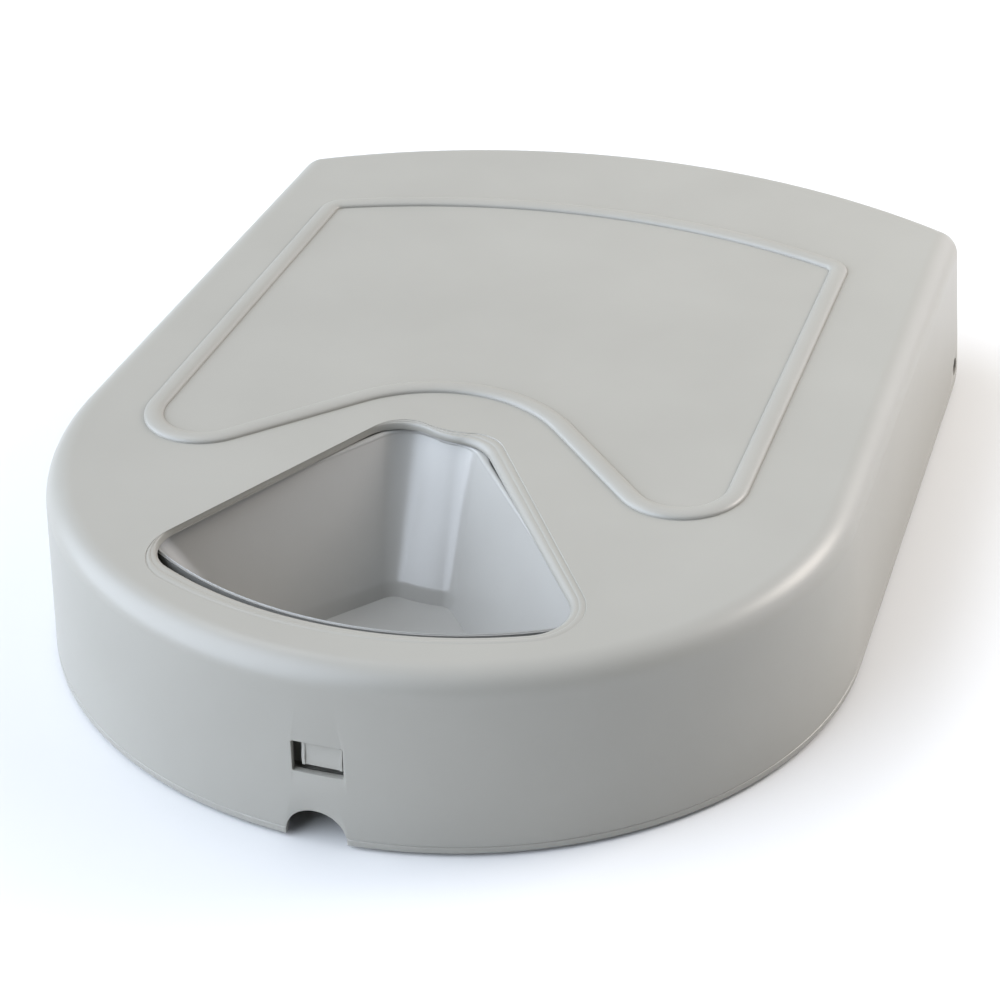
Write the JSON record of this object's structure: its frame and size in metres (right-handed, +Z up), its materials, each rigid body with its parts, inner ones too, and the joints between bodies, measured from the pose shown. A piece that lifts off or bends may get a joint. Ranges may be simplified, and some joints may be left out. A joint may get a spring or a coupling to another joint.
{
  "type": "automatic pet feeder",
  "caption": "Low tabletop pet feeder whose hinged lid uncovers one bowl at a time of a motor-turned round tray, with cells and a timer panel at the back.",
  "frame": {"origin": "on the surface it stands on, under the middle of the object's box", "axes": "+Z up, -Y towards the curved front with the opening, +X to the right when looking at the back from the front"},
  "size_m": [0.3078, 0.407, 0.0724],
  "materials": {
    "shell_plastic": "satin",
    "cover_plastic": "satin",
    "tray_plastic": "gloss",
    "steel": "satin",
    "spring_steel": "satin",
    "gear_plastic": "satin",
    "brass": "satin",
    "motor_steel": "satin",
    "dark_plastic": "satin",
    "clear_plastic": "gloss",
    "board": "satin",
    "lcd": "gloss",
    "key_plastic": "satin",
    "foot_rubber": "matte",
    "cell_jacket": "gloss"
  },
  "bodies": {
    "base_body": {"base": "shell_plastic", "hinge_pin_left": "steel", "hinge_pin_right": "steel", "bottom_cover": "cover_plastic", "cover_screw_1": "steel", "cover_screw_2": "steel", "cover_screw_3": "steel", "cover_screw_4": "steel", "cover_screw_5": "steel", "cover_screw_6": "steel", "foot_1": "foot_rubber", "foot_2": "foot_rubber", "foot_3": "foot_rubber", "foot_4": "foot_rubber", "battery_cell_1": "cell_jacket", "battery_cell_2": "cell_jacket", "battery_cell_3": "cell_jacket", "battery_cell_4": "cell_jacket", "contact_plate": "spring_steel", "contact_spring": "spring_steel", "hub_bushing": "brass", "idler_axle": "steel", "gear_motor": "motor_steel", "index_sensor": "dark_plastic", "control_panel": "dark_plastic", "display_window": "clear_plastic", "circuit_board": "board", "lcd_module": "lcd", "panel_screw_1": "steel", "panel_screw_2": "steel", "latch_spring": "spring_steel"},
    "lid_body": {"lid": "shell_plastic"},
    "tray_body": {"food_tray": "tray_plastic", "drive_hub": "gear_plastic", "hub_gear": "gear_plastic"},
    "idler_body": {"idler_gear": "gear_plastic"},
    "pinion_body": {"motor_pinion": "brass"},
    "latch_body": {"latch": "shell_plastic"},
    "door_body": {"battery_door": "cover_plastic"},
    "button_1_body": {"button_1": "key_plastic"},
    "button_2_body": {"button_2": "key_plastic"},
    "button_3_body": {"button_3": "key_plastic"},
    "button_4_body": {"button_4": "key_plastic"}
  },
  "joints": [
    {"name": "lid_hinge", "type": "hinge", "parent": "base_body", "child": "lid_body", "pos_m": [0, 0.15117, 0.0105], "axis": [-1, 0, 0], "range_deg": [0, 38]},
    {"name": "tray_turn", "type": "hinge", "parent": "base_body", "child": "tray_body", "pos_m": [0, -0.02733, 0.02], "axis": [0, 0, 1], "continuous": true},
    {"name": "idler_turn", "type": "hinge", "parent": "base_body", "child": "idler_body", "pos_m": [0.01746, -0.05172, 0.008], "axis": [0, 0, 1], "continuous": true},
    {"name": "pinion_turn", "type": "hinge", "parent": "base_body", "child": "pinion_body", "pos_m": [0.013, -0.02733, 0.01], "axis": [0, 0, 1], "continuous": true},
    {"name": "latch_slide", "type": "slide", "parent": "base_body", "child": "latch_body", "axis": [0, 1, 0], "range_m": [0, 0.0025], "stiffness_N_per_m": 600, "springref_m": -0.001, "deforming": ["latch_spring"]},
    {"name": "battery_door_slide", "type": "slide", "parent": "base_body", "child": "door_body", "axis": [0, 1, 0], "range_m": [0, 0.06]},
    {"name": "button_1_press", "type": "slide", "parent": "base_body", "child": "button_1_body", "axis": [0, 0, -1], "range_m": [0, 0.0008], "stiffness_N_per_m": 500, "springref_m": -0.0005},
    {"name": "button_2_press", "type": "slide", "parent": "base_body", "child": "button_2_body", "axis": [0, 0, -1], "range_m": [0, 0.0008], "stiffness_N_per_m": 500, "springref_m": -0.0005},
    {"name": "button_3_press", "type": "slide", "parent": "base_body", "child": "button_3_body", "axis": [0, 0, -1], "range_m": [0, 0.0008], "stiffness_N_per_m": 500, "springref_m": -0.0005},
    {"name": "button_4_press", "type": "slide", "parent": "base_body", "child": "button_4_body", "axis": [0, 0, -1], "range_m": [0, 0.0008], "stiffness_N_per_m": 500, "springref_m": -0.0005}
  ],
  "couplings": [
    {"joint": "idler_turn", "follows": "tray_turn", "ratio": -4},
    {"joint": "pinion_turn", "follows": "tray_turn", "ratio": 16.667}
  ]
}
